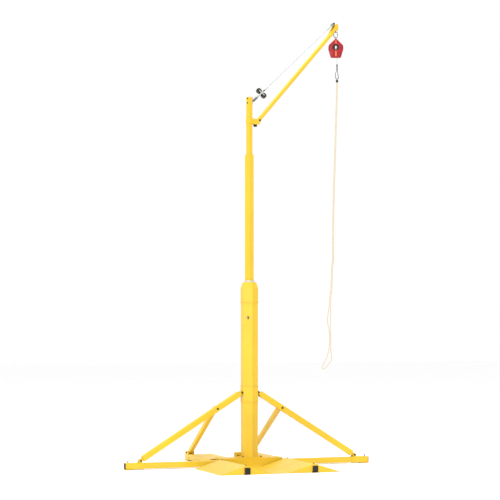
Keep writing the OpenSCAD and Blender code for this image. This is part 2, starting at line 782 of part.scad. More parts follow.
module boom_tube() {
    color(yellow) boom_axis() difference() {
        translate([-boom_size / 2, 0, 0]) rotate([0, 90, 0])
            square_tube(boom_size, 4, boom_wall, boom_length + boom_size / 2);
        rotate([90, 0, 0]) cylinder(d = brace_bolt_d + 0.12, h = 100, center = true);
    }
}

// Fabricated tip: two cheeks on the tube's sides, a floor for the anchor eye and a lug for the stay
module boom_tip() {
    cheek_y = boom_size / 2 + 3.2;
    front = anchor_reach + 21;
    color(yellow) boom_frame() difference() {
        union() {
            for (sy = [-1, 1]) translate([0, sy * cheek_y, 0]) upright(6)
                polygon([[tip_reach - 92, tip_z - 114], [tip_reach + 32, tip_z + 20], [front, tip_z + 22],
                    [front, tip_z + 116], [tip_reach + 46, tip_z + 122], [tip_reach - 92, tip_z - 62]]);
            translate([tip_reach + 34, -cheek_y, tip_z + 34])
                cube([front - tip_reach - 34, 2 * cheek_y, 10]);
            translate([front - 5, -cheek_y, tip_z + 40]) cube([5, 2 * cheek_y, 76]);
            translate([tip_reach + 34, -cheek_y, tip_z + 96]) cube([front - tip_reach - 36, 2 * cheek_y, 6]);
            upright(10) polygon([[tip_reach + 36, tip_z + 98], [tip_reach + 36, tip_z + 112],
                [stay_pin_reach + 8, stay_pin_z + 16], [stay_pin_reach - 12, stay_pin_z + 12],
                [stay_pin_reach - 17, stay_pin_z - 5], [tip_reach + 10, tip_z + 88]]);
        }
        translate([anchor_reach, 0, tip_z + 20]) cylinder(r = 8 + run_gap, h = 40);
        translate([stay_pin_reach, 0, stay_pin_z]) rotate([90, 0, 0])
            cylinder(d = stay_pin_d + 0.1, h = 30, center = true);
        boom_clear();
    }
}

// The boom tube's own space, cut out of what is fitted over it
module boom_clear() {
    translate([pivot_reach, 0, pivot_z]) rotate([0, -boom_pitch, 0])
        translate([0, -boom_size / 2 - 0.1, -boom_size / 2 - 0.1])
            cube([boom_length + 0.3, boom_size + 0.2, boom_size + 0.2]);
}

module pivot_bolt() {
    half = bracket_gap / 2 + cheek_t + 0.2;
    color(dark) boom_frame() translate([pivot_reach, -half, pivot_z]) rotate([-90, 0, 0])
        bolt(brace_bolt_d, 2 * half);
}

module stay_pin() {
    color(dark) boom_frame() translate([stay_pin_reach, 0, stay_pin_z]) rotate([90, 0, 0]) {
        cylinder(d = stay_pin_d, h = 40, center = true);
        for (sy = [-1, 1]) translate([0, 0, sy * 18]) cylinder(d = 24, h = 5, center = true);
    }
}

// ---- stay: +X of this frame runs up the stay from the mast eye ----

module stay_frame() {
    boom_frame() translate([eye_reach, 0, eye_z]) rotate([0, -stay_pitch, 0]) children();
}

module absorber_frame_at() {
    stay_frame() rotate([absorber_roll, 0, 0]) children();
}

// Forked shackle whose pin turns in the mast eye
module stay_shackle() {
    color(steel) stay_frame() {
        for (sy = [-1, 1]) translate([0, sy * 8, 0]) upright(6) link([0, 0], [72, 0], 13);
        rotate([90, 0, 0]) cylinder(d = stay_pin_d, h = 26, center = true);
        translate([40, -8, -13]) cube([44, 16, 26]);
        translate([80, 0, 0]) rotate([0, 90, 0]) cylinder(d = 20, h = 26);
    }
}

// Two cross-shaped plates that carry the coils' axles
module absorber_frame() {
    color([0.75, 0.76, 0.74]) absorber_frame_at() {
        for (sy = [-1, 1]) translate([0, sy * (frame_y + 1.5), 0]) upright(3) {
            link([112, 0], [coil_u + 16, 0], 9);
            link([coil_u, -coil_v], [coil_u, coil_v], 7);
        }
        translate([106.3, -frame_y - 3, -9]) cube([5, 2 * frame_y + 6, 18]);
        for (side = [-1, 1]) translate([coil_u, 0, side * coil_v]) rotate([90, 0, 0])
            cylinder(d = 12, h = 2 * frame_y + 4, center = true);
    }
}

// One coil of strip, drawn as a disc with a groove for each pair of turns
module coil(side) {
    groove_pitch = 6;
    color([0.27, 0.25, 0.22]) absorber_frame_at() translate([coil_u, 0, side * coil_v]) rotate([90, 0, 0])
        difference() {
            cylinder(d = coil_d, h = coil_w, center = true);
            cylinder(d = 12 + 2 * run_gap, h = coil_w + 2, center = true);
            for (r = [14 : groove_pitch : coil_d / 2 - 4], face = [-1, 1])
                translate([0, 0, face * (coil_w / 2)]) rotate_extrude() translate([r, -1]) square([2, 2]);
        }
}

module upper_coil() coil(1);
module lower_coil() coil(-1);

// Straight ends of the two strips, clamped to the wire's lower terminal
module absorber_strips() {
    strip_in = coil_v - coil_d / 2 - 0.4 - strip_t;
    strip_start = coil_u - 74;
    color([0.55, 0.55, 0.53]) absorber_frame_at() {
        for (z = [strip_in, -strip_in - strip_t]) translate([strip_start, -strip_w / 2, z])
            cube([clamp_u + 16 - strip_start, strip_w, strip_t]);
        translate([clamp_u, -strip_w / 2 - 2, -strip_in - 4]) cube([20, strip_w + 4, 2 * strip_in + 8]);
    }
}

module stay_wire() {
    color(steel) stay_frame() translate([clamp_u + 60, 0, 0]) rotate([0, 90, 0])
        cylinder(d = wire_d, h = stay_len - 110 - clamp_u - 60);
}

// Swaged sleeve at the absorber and swaged fork at the boom tip
module stay_terminals() {
    sleeve_d = 2.2 * wire_d;
    fork_x = stay_len - 52;
    color([0.45, 0.50, 0.45]) stay_frame() {
        difference() {
            translate([clamp_u + 20.2, 0, 0]) rotate([0, 90, 0]) cylinder(d = sleeve_d, h = 78);
            translate([clamp_u + 60, 0, 0]) rotate([0, 90, 0]) cylinder(d = wire_d + 0.1, h = 78);
        }
        difference() {
            union() {
                translate([stay_len - 160, 0, 0]) rotate([0, 90, 0]) cylinder(d = sleeve_d, h = 110);
                translate([fork_x - 12, -12, -10]) cube([14, 24, 20]);
                for (sy = [-1, 1]) translate([0, sy * 9, 0]) upright(6) link([fork_x, 0], [stay_len, 0], 15);
            }
            translate([stay_len, 0, 0]) rotate([90, 0, 0])
                cylinder(r = stay_pin_d / 2 + open_gap, h = 40, center = true);
            translate([stay_len - 170, 0, 0]) rotate([0, 90, 0]) cylinder(d = wire_d + 0.1, h = 60);
        }
    }
}

// ---- lifeline: hangs on the vertical through the anchor eye ----

module anchor_frame() {
    translate([anchor_reach * cos(boom_azimuth), anchor_reach * sin(boom_azimuth), 0])
        rotate([0, 0, lifeline_yaw]) children();
}

// Swivelling eye: stem up through the boom tip, ring across the carabiner's rod
module anchor_eye() {
    ring_r = anchor_hole_r + 7;
    color(dark) anchor_frame() {
        translate([0, 0, anchor_z]) rotate([0, 90, 0]) difference() {
            cylinder(r = ring_r, h = 9, center = true);
            cylinder(r = anchor_hole_r, h = 20, center = true);
        }
        translate([0, 0, anchor_z + anchor_hole_r + 2])
            cylinder(r = 8, h = tip_z + 66 - anchor_z - anchor_hole_r - 2);
        translate([0, 0, tip_z + 44.5]) cylinder(r = 13, h = 14, $fn = 6);
    }
}

// Half the centre line of the carabiner: width to each side
carabiner_half_w = (carabiner_w - carabiner_rod) / 2;
carabiner_mid_z = (rod_top_z + rod_bottom_z) / 2;
carabiner_half_h = (rod_top_z - rod_bottom_z) / 2;
gate_angle = 35;
gate_x = carabiner_half_w * cos(gate_angle);
gate_half = carabiner_half_h - carabiner_half_w * (1 - sin(gate_angle)) - rod_r * cos(gate_angle) - 1;

// Part of a ring in the XZ plane, from angle a0 to a1
module rod_arc(radius, rod, a0, a1) {
    rotate([90, 0, 0]) rotate([0, 0, a0])
        rotate_extrude(angle = a1 - a0) translate([radius, 0]) circle(rod, $fn = 24);
}

module carabiner_body() {
    r = carabiner_half_w;
    straight = carabiner_half_h - r;
    color(steel) anchor_frame() translate([0, 0, carabiner_mid_z]) {
        translate([0, 0, straight]) rod_arc(r, rod_r, gate_angle, 180);
        translate([0, 0, -straight]) rod_arc(r, rod_r, 180, 360 - gate_angle);
        translate([-r, 0, -straight - 3]) cylinder(r = rod_r - 0.2, h = 2 * straight + 6);
    }
}

module carabiner_gate() {
    color([0.5, 0.52, 0.53]) anchor_frame() translate([gate_x, 0, carabiner_mid_z - gate_half]) {
        cylinder(r = rod_r - 1, h = 2 * gate_half);
        translate([0, 0, 2 * gate_half - 24]) cylinder(r = rod_r + 1.2, h = 18);
    }
}

module swivel_eye() {
    color(steel) anchor_frame() {
        translate([0, 0, swivel_z]) rotate([0, 90, 0]) difference() {
            cylinder(r = swivel_hole_r + 4.5, h = 9, center = true);
            cylinder(r = swivel_hole_r, h = 20, center = true);
        }
        translate([0, 0, housing_top - 30])
            cylinder(r = 6, h = swivel_z - swivel_hole_r - 2 - housing_top + 30);
        translate([0, 0, housing_top - 30]) cylinder(r = 11, h = 6);
    }
}

// Outline of the housing: pointed top, wide shoulders, narrower foot
module housing_outline(inset) {
    w = housing_w / 2;
    hull() {
        translate([0, housing_top - 16]) circle(16 - inset, $fn = 32);
        for (sx = [-1, 1]) {
            translate([sx * (w - 30), housing_bottom + housing_h * 0.60]) circle(28 - inset, $fn = 32);
            translate([sx * (w - 24), housing_bottom + housing_h * 0.45]) circle(24 - inset, $fn = 32);
            translate([sx * (w - 52), housing_bottom + 22]) circle(22 - inset, $fn = 32);
        }
    }
}

// Half of the housing on one side of its parting plane; face = -1 is the front
module housing_half(face) {
    half = housing_t / 2;
    anchor_frame() mirror_face(face) difference() {
        hull() {
            rotate([90, 0, 0]) translate([0, 0, 0.3]) linear_extrude(half - 18) housing_outline(0);
            rotate([90, 0, 0]) translate([0, 0, 0.3]) linear_extrude(half) housing_outline(13);
        }
        hull() {
            rotate([90, 0, 0]) translate([0, 0, -1]) linear_extrude(half - 20) housing_outline(5);
            rotate([90, 0, 0]) translate([0, 0, -1]) linear_extrude(half - 4) housing_outline(18);
        }
        translate([0, 0, drum_z]) rotate([90, 0, 0]) cylinder(d = axle_d + 0.2, h = 2 * half);
        translate([0, 0, housing_top - 40]) cylinder(r = 6 + run_gap, h = 60);
        translate([0, 0, housing_top - 40]) cylinder(r = 12, h = 17);
        translate([line_x, 0, housing_bottom - 10]) cylinder(r = cable_d / 2 + 1, h = 60);
    }
}

module mirror_face(face) {
    mirror([0, face > 0 ? 1 : 0, 0]) children();
}

module front_shell() color([0.72, 0.13, 0.15]) housing_half(-1);
module rear_shell() color([0.60, 0.08, 0.12]) housing_half(1);

module hub_caps() {
    color(dark) anchor_frame() for (face = [-1, 1]) mirror_face(face)
        translate([0, -housing_t / 2 - 0.5, drum_z]) rotate([90, 0, 0]) difference() {
            union() {
                cylinder(d = hub_cap_d, h = 5);
                translate([0, 0, 4]) cylinder(d = 30, h = 6);
            }
            translate([0, 0, -1]) cylinder(d = axle_d + 0.2, h = 5);
        }
}

module drum_axle() {
    color(steel) anchor_frame() translate([0, 0, drum_z]) rotate([90, 0, 0])
        cylinder(d = axle_d, h = housing_t + 6, center = true);
}

module cable_drum() {
    width = housing_t - 34;
    color([0.5, 0.5, 0.5]) anchor_frame() translate([0, 0, drum_z]) rotate([90, 0, 0]) difference() {
        union() {
            cylinder(d = drum_d, h = width, center = true);
            for (face = [-1, 1]) translate([0, 0, face * (width / 2 - 2)])
                cylinder(r = drum_flange_r, h = 4, center = true);
        }
        cylinder(d = axle_d + 2 * run_gap, h = width + 2, center = true);
    }
}

// Cable from beside the drum, down out of the housing, to the stop above the hook
module lifeline_cable() {
    color(steel) anchor_frame() translate([line_x, 0, stop_z + 8])
        cylinder(d = cable_d, h = drum_z - drum_flange_r - 2 - stop_z - 8);
}

module cable_stop() {
    color(dark) anchor_frame() translate([line_x, 0, hook_top]) {
        translate([0, 0, 1]) cylinder(d = 15, h = 5);
        translate([0, 0, 2]) cylinder(d = 8, h = stop_z - hook_top + 1);
        difference() {
            union() {
                translate([0, 0, stop_z - hook_top + 2]) cylinder(d = 18, h = 26);
                translate([0, 0, stop_z - hook_top + 28]) cylinder(d1 = 18, d2 = 10, h = 12);
            }
            translate([0, 0, stop_z - hook_top + 7.9]) cylinder(d = cable_d + 0.1, h = 40);
        }
    }
}

// Swivel barrel, bow and nose of the snap hook
module snap_hook() {
    color(steel) anchor_frame() translate([line_x, 0, 0]) {
        difference() {
            translate([0, 0, hook_neck_z]) cylinder(d = 22, h = stop_z - hook_neck_z);
            translate([0, 0, hook_top]) cylinder(d = 16, h = 8);
            translate([0, 0, hook_top + 7]) cylinder(d = 8 + 2 * run_gap, h = 20);
        }
        translate([0, 0, hook_bow_z]) rod_arc(hook_bow, hook_rod / 2, 180, 360);
        translate([-hook_bow, 0, hook_bow_z]) cylinder(d = hook_rod, h = hook_neck_z - hook_bow_z - 4);
        translate([-hook_bow, 0, hook_neck_z - 4]) sphere(d = hook_rod);
        translate([-hook_bow, 0, hook_neck_z - 4]) rotate([0, 60, 0])
            cylinder(d = hook_rod, h = hook_bow + 4);
        translate([hook_bow, 0, hook_bow_z]) cylinder(d = hook_rod, h = 4);
    }
}

module hook_gate() {
    gate_len = norm([hook_bow - 8, hook_neck_z - 2 - hook_bow_z - 5]);
    tilt = atan2(hook_bow - 8, hook_neck_z - 2 - hook_bow_z - 5);
    color(dark) anchor_frame() translate([line_x + hook_bow, 0, hook_bow_z + 4.6]) rotate([0, -tilt, 0])
        translate([-4, -hook_rod / 2, 1]) cube([8, hook_rod, gate_len - 4]);
}

// Ring on the hook's bow and a sleeve that both ends of the tagline go into
module tagline_clamp() {
    color(dark) anchor_frame() translate([line_x, 0, 0]) {
        translate([0, 0, ring_z]) rotate([0, 90, 0]) difference() {
            cylinder(r = 14, h = 7, center = true);
            cylinder(r = 9, h = 20, center = true);
        }
        translate([-16, -9, rope_top]) cube([32, 18, ring_z - 11 - rope_top]);
    }
}

// Points a and b of the route with a smooth curve between them
function blend_point(p, k, t) =
    let (a = p[max(k - 1, 0)], b = p[k], c = p[k + 1], d = p[min(k + 2, len(p) - 1)])
    0.5 * (2 * b + (c - a) * t + (2 * a - 5 * b + 4 * c - d) * t * t + (3 * b - a - 3 * c + d) * t * t * t);

rope_points = concat([for (k = [0 : len(rope_route) - 2], j = [0 : rope_rings_per_leg - 1])
    blend_point(rope_route, k, j / rope_rings_per_leg)], [rope_route[len(rope_route) - 1]]);

// Tube along points of the XZ plane: each ring stands square to the route
module swept_tube(points, r, sides) {
    count = len(points);
    heading = [for (i = [0 : count - 1])
        let (d = points[min(i + 1, count - 1)] - points[max(i - 1, 0)]) d / norm(d)];
    rings = [for (i = [0 : count - 1], s = [0 : sides - 1]) let (a = 360 * s / sides)
        [points[i][0] - heading[i][1] * r * cos(a), r * sin(a), points[i][1] + heading[i][0] * r * cos(a)]];
    walls = [for (i = [0 : count - 2], s = [0 : sides - 1]) let (n = (s + 1) % sides)
        [i * sides + s, i * sides + n, (i + 1) * sides + n, (i + 1) * sides + s]];
    first_end = [for (s = [sides - 1 : -1 : 0]) s];
    last_end = [for (s = [0 : sides - 1]) (count - 1) * sides + s];
    polyhedron(points = rings, faces = concat(walls, [first_end, last_end]));
}

module tagline_rope() {
    color([0.92, 0.86, 0.70]) anchor_frame() translate([line_x, 0, rope_top])
        swept_tube(rope_points, rope_d / 2, rope_sides);
}

hub();
left_rail();
right_rail();
tube_end_caps();
rear_brackets();
ramp_plate();
base_bolts();
left_rear_deck();
right_rear_deck();
left_outrigger();
right_outrigger();
foot_pads();
left_brace();
right_brace();
left_strut();
right_strut();
brace_bolts();
lower_mast();
flange_bolts();
brace_band();
mast_cap();
hinge_block();
hinge_pin();
lock_housing();
lock_plunger();
upper_bush();
mid_tube();
slide_shoe();
top_tube();
top_cap();
boom_bracket();
bracket_plug();
stay_eye();
eye_bolts();
boom_tube();
boom_tip();
pivot_bolt();
stay_pin();
stay_shackle();
absorber_frame();
upper_coil();
lower_coil();
absorber_strips();
stay_wire();
stay_terminals();
anchor_eye();
carabiner_body();
carabiner_gate();
swivel_eye();
front_shell();
rear_shell();
hub_caps();
drum_axle();
cable_drum();
lifeline_cable();
cable_stop();
snap_hook();
hook_gate();
tagline_clamp();
tagline_rope();
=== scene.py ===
"""Looks of the free-standing fall-arrest mast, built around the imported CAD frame. Metres, row frame."""
import json
import math

import bpy
import numpy as np
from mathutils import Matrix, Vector, noise


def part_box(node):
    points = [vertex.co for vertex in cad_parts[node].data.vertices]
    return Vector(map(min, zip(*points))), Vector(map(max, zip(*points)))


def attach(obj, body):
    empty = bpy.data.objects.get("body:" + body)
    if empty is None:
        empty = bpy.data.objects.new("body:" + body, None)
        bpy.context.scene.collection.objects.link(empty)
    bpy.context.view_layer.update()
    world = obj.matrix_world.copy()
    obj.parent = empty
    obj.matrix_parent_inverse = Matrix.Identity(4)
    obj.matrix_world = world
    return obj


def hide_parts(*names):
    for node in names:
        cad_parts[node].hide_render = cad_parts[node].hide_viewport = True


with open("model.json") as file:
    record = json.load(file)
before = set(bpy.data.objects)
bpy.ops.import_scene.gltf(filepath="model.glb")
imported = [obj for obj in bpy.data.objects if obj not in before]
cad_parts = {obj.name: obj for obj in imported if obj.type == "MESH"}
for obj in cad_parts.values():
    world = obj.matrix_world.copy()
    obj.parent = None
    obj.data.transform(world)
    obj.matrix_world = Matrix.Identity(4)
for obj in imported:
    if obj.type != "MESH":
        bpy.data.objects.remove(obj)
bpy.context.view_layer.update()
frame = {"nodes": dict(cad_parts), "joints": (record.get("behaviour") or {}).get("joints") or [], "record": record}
NODES = frame["nodes"]
JOINTS = {j["name"]: j for j in frame["joints"]}
scene = bpy.context.scene

# ---- camera: low and far in front, turned so that the left outrigger comes forward ----
CAMERA_AT = (-7.5266, -20.7277, 1.8659)
CAMERA_YAW = 19.98
CAMERA_PITCH = 2.742
CAMERA_LENS = 116.98

camera = bpy.data.objects.new("camera", bpy.data.cameras.new("camera"))
scene.collection.objects.link(camera)
camera.location = CAMERA_AT
camera.rotation_euler = (math.radians(90 + CAMERA_PITCH), 0, math.radians(-CAMERA_YAW))
camera.data.lens = CAMERA_LENS
camera.data.sensor_width = 36
camera.data.clip_end = 200
scene.camera = camera

# ---- directions and places that the model's joints give ----
UP = Vector((0, 0, 1))
STAY = Vector(JOINTS["stay_payout"]["axis"]).normalized()
LINE_X = Vector(JOINTS["carabiner_swing"]["axis"]).normalized()
LINE_Y = Vector((-LINE_X.y, LINE_X.x, 0))
HOUSING = Vector(JOINTS["housing_swivel"]["pos_m"])
HUB = Vector(JOINTS["drum_spin"]["pos_m"])


def new_object(name, verts, faces, smooth=True):
    mesh = bpy.data.meshes.new(name)
    mesh.from_pydata([tuple(v) for v in verts], [], faces)
    mesh.update()
    if smooth:
        mesh.polygons.foreach_set("use_smooth", [True] * len(mesh.polygons))
    obj = bpy.data.objects.new(name, mesh)
    scene.collection.objects.link(obj)
    return obj


def resample(points, step):
    """Evenly spaced points along a polyline, and its length."""
    p = np.array([tuple(q) for q in points], float)
    seg = np.linalg.norm(np.diff(p, axis=0), axis=1)
    at = np.concatenate([[0], np.cumsum(seg)])
    count = max(2, int(round(at[-1] / step)) + 1)
    s = np.linspace(0, at[-1], count)
    return np.stack([np.interp(s, at, p[:, i]) for i in range(3)], 1), at[-1]


def sweep(name, points, radius, sides=12, step=0.004, strands=0, lay=0.04, depth=0.12, closed=False):
    """Tube along points. Its strands are real ridges that wind round it once every lay metres."""
    path, length = resample(points, step)
    if closed:
        path = path[:-1]
    count = len(path)
    ahead = np.roll(path, -1, 0) - np.roll(path, 1, 0) if closed else np.gradient(path, axis=0)
    ahead /= np.linalg.norm(ahead, axis=1)[:, None]
    side = np.cross(ahead[0], (0.31, 0.87, 0.39))
    side /= np.linalg.norm(side)
    verts, groove = [], []
    for i in range(count):
        side = side - ahead[i] * side.dot(ahead[i])
        side /= np.linalg.norm(side)
        other = np.cross(ahead[i], side)
        twist = 2 * math.pi * i * length / max(count - 1, 1) / lay
        for k in range(sides):
            a = 2 * math.pi * k / sides
            ridge = abs(math.cos(strands * (a - twist) / 2)) if strands else 1.0
            r = radius * (1 - depth + depth * ridge)
            verts.append(path[i] + r * (math.cos(a) * side + math.sin(a) * other))
            groove.append(ridge)
    faces = []
    for i in range(count if closed else count - 1):
        j = (i + 1) % count
        for k in range(sides):
            n = (k + 1) % sides
            faces.append((i * sides + k, i * sides + n, j * sides + n, j * sides + k))
    if not closed:
        faces.append(tuple(range(sides - 1, -1, -1)))
        faces.append(tuple(range((count - 1) * sides, count * sides)))
    obj = new_object(name, verts, faces)
    mark = obj.data.attributes.new("ridge", "FLOAT", "POINT")
    mark.data.foreach_set("value", groove)
    return obj


# ---- the tagline: the route of part.scad, in mm along LINE_X and down from the clamp ----
ROPE_D = 0.011
LINE_OFFSET = 0.016
ROPE_ROUTE = [
    (-7, 0), (-7, -60), (-9, -130), (-22, -530), (-36, -960), (-52, -1410), (-64, -1830), (-72, -2190),
    (-71, -2540), (-84, -2650), (-96, -2960), (-110, -3070), (-118, -3190), (-146, -3420), (-126, -3540),
    (-114, -3684), (-127, -3828), (-150, -3928), (-204, -4043), (-226, -4084), (-215, -4108), (-190, -4106),
    (-160, -4078), (-108, -4014), (-86, -3965), (-92, -3900), (-100, -3828), (-98, -3684), (-104, -3540),
    (-102, -3420), (-100, -3190), (-92, -3070), (-80, -2960), (-68, -2650), (-56, -2540), (-56, -2190),
    (-49, -1830), (-37, -1410), (-21, -960), (-7, -530), (5, -130), (7, -60), (7, 0)]
SMOOTH = 8  # curve points for each leg of the route


def rope_points():
    rope_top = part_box("tagline_rope")[1].z
    hook_axis = Vector((HOUSING.x, HOUSING.y, 0)) + LINE_X * LINE_OFFSET
    p = [np.array(q, float) / 1000 for q in ROPE_ROUTE]
    out = []
    for k in range(len(p) - 1):
        a, b, c, d = p[max(k - 1, 0)], p[k], p[k + 1], p[min(k + 2, len(p) - 1)]
        for j in range(SMOOTH):
            t = j / SMOOTH
            out.append(0.5 * (2 * b + (c - a) * t + (2 * a - 5 * b + 4 * c - d) * t * t
                              + (3 * b - a - 3 * c + d) * t ** 3))
    out.append(p[-1])
    return [hook_axis + LINE_X * q[0] + UP * (rope_top + q[1]) for q in out]


rope_path = rope_points()
rope = sweep("tagline_rope_laid", rope_path, ROPE_D / 2, sides=16, step=0.0045, strands=3, lay=0.036, depth=0.22)
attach(rope, "tagline")
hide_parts("tagline_rope")


# ---- materials ----
class Surface:
    """A node tree with a Principled shader; its helpers add procedural detail in the row frame's metres."""

    def __init__(self, name, roughness, metallic=0.0, **sockets):
        self.mat = bpy.data.materials.new(name)
        self.mat.use_nodes = True
        self.tree = self.mat.node_tree
        self.shader = self.tree.nodes["Principled BSDF"]
        self.shader.inputs["Roughness"].default_value = roughness
        self.shader.inputs["Metallic"].default_value = metallic
        for key, value in sockets.items():
            self.shader.inputs[key.replace("_", " ")].default_value = value
        self.coord = self.tree.nodes.new("ShaderNodeTexCoord").outputs["Object"]

    def node(self, kind, links=(), **values):
        n = self.tree.nodes.new(kind)
        for key, value in values.items():
            setattr(n, key, value)
        for socket, source in links:
            if isinstance(source, bpy.types.NodeSocket):
                self.tree.links.new(source, n.inputs[socket])
            else:
                n.inputs[socket].default_value = source
        return n

    def noise(self, scale, detail=3.0, stretch=(1, 1, 1)):
        coord = self.coord
        if stretch != (1, 1, 1):
            coord = self.node("ShaderNodeMapping", [("Vector", coord), ("Scale", stretch)]).outputs["Vector"]
        return self.node("ShaderNodeTexNoise", [("Vector", coord), ("Scale", scale), ("Detail", detail)]).outputs["Fac"]

    def ramp(self, fac, stops):
        n = self.node("ShaderNodeValToRGB", [("Fac", fac)])
        e = n.color_ramp.elements
        for i, (at, colour) in enumerate(stops):
            item = e[i] if i < 2 else e.new(at)
            item.position = at
            item.color = (*colour, 1)
        return n.outputs["Color"]

    def mix(self, fac, a, b):
        n = self.node("ShaderNodeMix", data_type="RGBA")
        for i, source in ((0, fac), (6, a), (7, b)):
            if isinstance(source, bpy.types.NodeSocket):
                self.tree.links.new(source, n.inputs[i])
            else:
                n.inputs[i].default_value = source if i == 0 else (*source, 1)
        return n.outputs[2]

    def level(self, fac, low, high, a=0.0, b=1.0):
        return self.node("ShaderNodeMapRange", [("Value", fac), ("From Min", low), ("From Max", high),
                                                ("To Min", a), ("To Max", b)]).outputs["Result"]

    def math(self, operation, a, b):
        return self.node("ShaderNodeMath", [(0, a), (1, b)], operation=operation).outputs["Value"]

    def bump(self, height, distance, strength=1.0, base=None):
        links = [("Height", height), ("Distance", distance), ("Strength", strength)]
        if base is not None:
            links.append(("Normal", base))
        return self.node("ShaderNodeBump", links).outputs["Normal"]

    def edges(self, radius):
        return self.node("ShaderNodeBevel", [("Radius", radius)], samples=4).outputs["Normal"]

    def finish(self, colour=None, roughness=None, normal=None):
        for socket, source in (("Base Color", colour), ("Roughness", roughness), ("Normal", normal)):
            if source is not None:
                self.tree.links.new(source, self.shader.inputs[socket])
        return self.mat


def painted_yellow():
    s = Surface("yellow_powder_coat", 0.42, Specular_IOR_Level=0.28, Coat_Weight=0.08, Coat_Roughness=0.2)
    tone = s.ramp(s.noise(2.3, 4), [(0.30, (0.66, 0.430, 0.018)), (0.70, (0.74, 0.490, 0.023))])
    mottled = s.mix(s.level(s.noise(38, 5), 0.35, 0.7, 0, 0.22), tone, (0.62, 0.37, 0.022))
    height = s.node("ShaderNodeSeparateXYZ", [("Vector", s.coord)]).outputs["Z"]
    near_floor = s.level(height, 0.28, 0.0)
    dust = s.math("MULTIPLY", near_floor, s.level(s.noise(9, 6), 0.45, 0.72, 0, 0.14))
    dusty = s.mix(dust, mottled, (0.36, 0.28, 0.17))
    scratch = s.level(s.noise(16, 8, (1, 1, 9)), 0.70, 0.74)
    scraped = s.mix(s.math("MULTIPLY", scratch, 0.30), dusty, (0.95, 0.74, 0.24))
    chips = s.level(s.noise(85, 3), 0.755, 0.77)
    worn = s.mix(s.math("MULTIPLY", chips, 0.75), scraped, (0.16, 0.12, 0.09))
    rough = s.level(s.noise(24, 5), 0.3, 0.7, 0.30, 0.50)
    peel = s.bump(s.noise(420, 2), 0.0004, 0.25, s.edges(0.0025))
    return s.finish(worn, rough, s.bump(chips, -0.0004, 0.5, peel))


def metal(name, dark, light, rough, stretch=(1, 1, 14), tint=None):
    s = Surface(name, sum(rough) / 2, 1.0)
    colour = s.ramp(s.noise(30, 5, stretch), [(0.3, dark), (0.7, light)])
    if tint:
        colour = s.mix(s.level(s.noise(70, 4), 0.52, 0.70, 0, 0.5), colour, tint)
    grain = s.noise(900, 2, stretch)
    return s.finish(colour, s.level(s.noise(55, 4), 0.3, 0.7, *rough), s.bump(grain, 0.0002, 0.3, s.edges(0.0008)))


def moulded(name, dark, light, rough, grain=700, coat=0.0):
    s = Surface(name, sum(rough) / 2, Coat_Weight=coat, Coat_Roughness=0.12)
    colour = s.ramp(s.noise(14, 4), [(0.3, dark), (0.7, light)])
    scuff = s.level(s.noise(110, 6, (1, 1, 3)), 0.66, 0.74, 0, 0.22)
    scuffed = s.mix(scuff, colour, tuple(min(1, c + 0.16) for c in light))
    pebble = s.node("ShaderNodeTexVoronoi", [("Vector", s.coord), ("Scale", grain)]).outputs["Distance"]
    return s.finish(scuffed, s.level(s.noise(40, 4), 0.3, 0.7, *rough), s.bump(pebble, 0.0002, 0.2, s.edges(0.0012)))


def stranded(name, painted_groove_shade, proud, rough, metallic=0.0, fuzz=1600, **sockets):
    """For swept ropes: colour and roughness follow the ridge attribute, the colour darkening into the grooves as
    painted shade, with fine fibres or wires over it.
    """
    s = Surface(name, sum(rough) / 2, metallic, **sockets)
    ridge = s.node("ShaderNodeAttribute", attribute_name="ridge").outputs["Fac"]
    # painted shade: the colour is darkest in the grooves between strands and lightest on the ridge tops
    colour = s.ramp(ridge, [(0.10, painted_groove_shade), (0.75, proud)])
    stained = s.mix(s.level(s.noise(22, 5), 0.5, 0.75, 0, 0.35), colour, tuple(c * 0.72 for c in proud))
    fibres = s.noise(fuzz, 3)
    return s.finish(stained, s.level(fibres, 0.3, 0.7, *rough), s.bump(fibres, 0.0004, 0.5))


YELLOW = painted_yellow()
FINISHES = {
    "yellow_paint": YELLOW,
    "black_plastic": moulded("black_moulded", (0.010, 0.010, 0.009), (0.022, 0.021, 0.019), (0.42, 0.6)),
    "dark_steel": metal("black_oxide_steel", (0.035, 0.035, 0.033), (0.075, 0.072, 0.068), (0.34, 0.5)),
    "bright_steel": metal("zinc_plated_steel", (0.15, 0.15, 0.155), (0.30, 0.30, 0.31), (0.22, 0.38)),
    "white_nylon": moulded("white_nylon", (0.50, 0.47, 0.41), (0.60, 0.57, 0.50), (0.35, 0.5)),
    "plated_steel": metal("pale_plated_steel", (0.50, 0.51, 0.48), (0.70, 0.71, 0.68), (0.28, 0.42)),
    "strip_steel": metal("oiled_strip_steel", (0.045, 0.040, 0.033), (0.13, 0.12, 0.10), (0.28, 0.45), (1, 1, 1),
                         (0.10, 0.055, 0.03)),
    # wire rope: its darker first colour is painted shade in the grooves between strands
    "wire_rope": stranded("galvanised_wire_rope", (0.17, 0.17, 0.18), (0.46, 0.47, 0.50), (0.34, 0.5), 1.0),
    "grey_green_steel": metal("grey_green_steel", (0.30, 0.36, 0.32), (0.46, 0.53, 0.48), (0.34, 0.5)),
    "red_plastic": moulded("red_moulded", (0.27, 0.006, 0.014), (0.38, 0.012, 0.022), (0.34, 0.5), 500, 0.05),
    "cast_drum": metal("cast_aluminium", (0.35, 0.35, 0.35), (0.5, 0.5, 0.5), (0.4, 0.55), (1, 1, 1)),
    # cream rope: its darker first colour is painted shade in the grooves between strands
    "cream_rope": stranded("cream_polyester_rope", (0.33, 0.24, 0.12), (0.66, 0.54, 0.33), (0.75, 0.95),
                           Sheen_Weight=0.25, Sheen_Roughness=0.5),
}
for slot in ("red_plastic", "black_plastic"):
    FINISHES[slot].node_tree.nodes["Principled BSDF"].inputs["Specular IOR Level"].default_value = 0.25
ORANGE = moulded("orange_moulded", (0.62, 0.13, 0.012), (0.75, 0.19, 0.02), (0.3, 0.45), 500, 0.3)
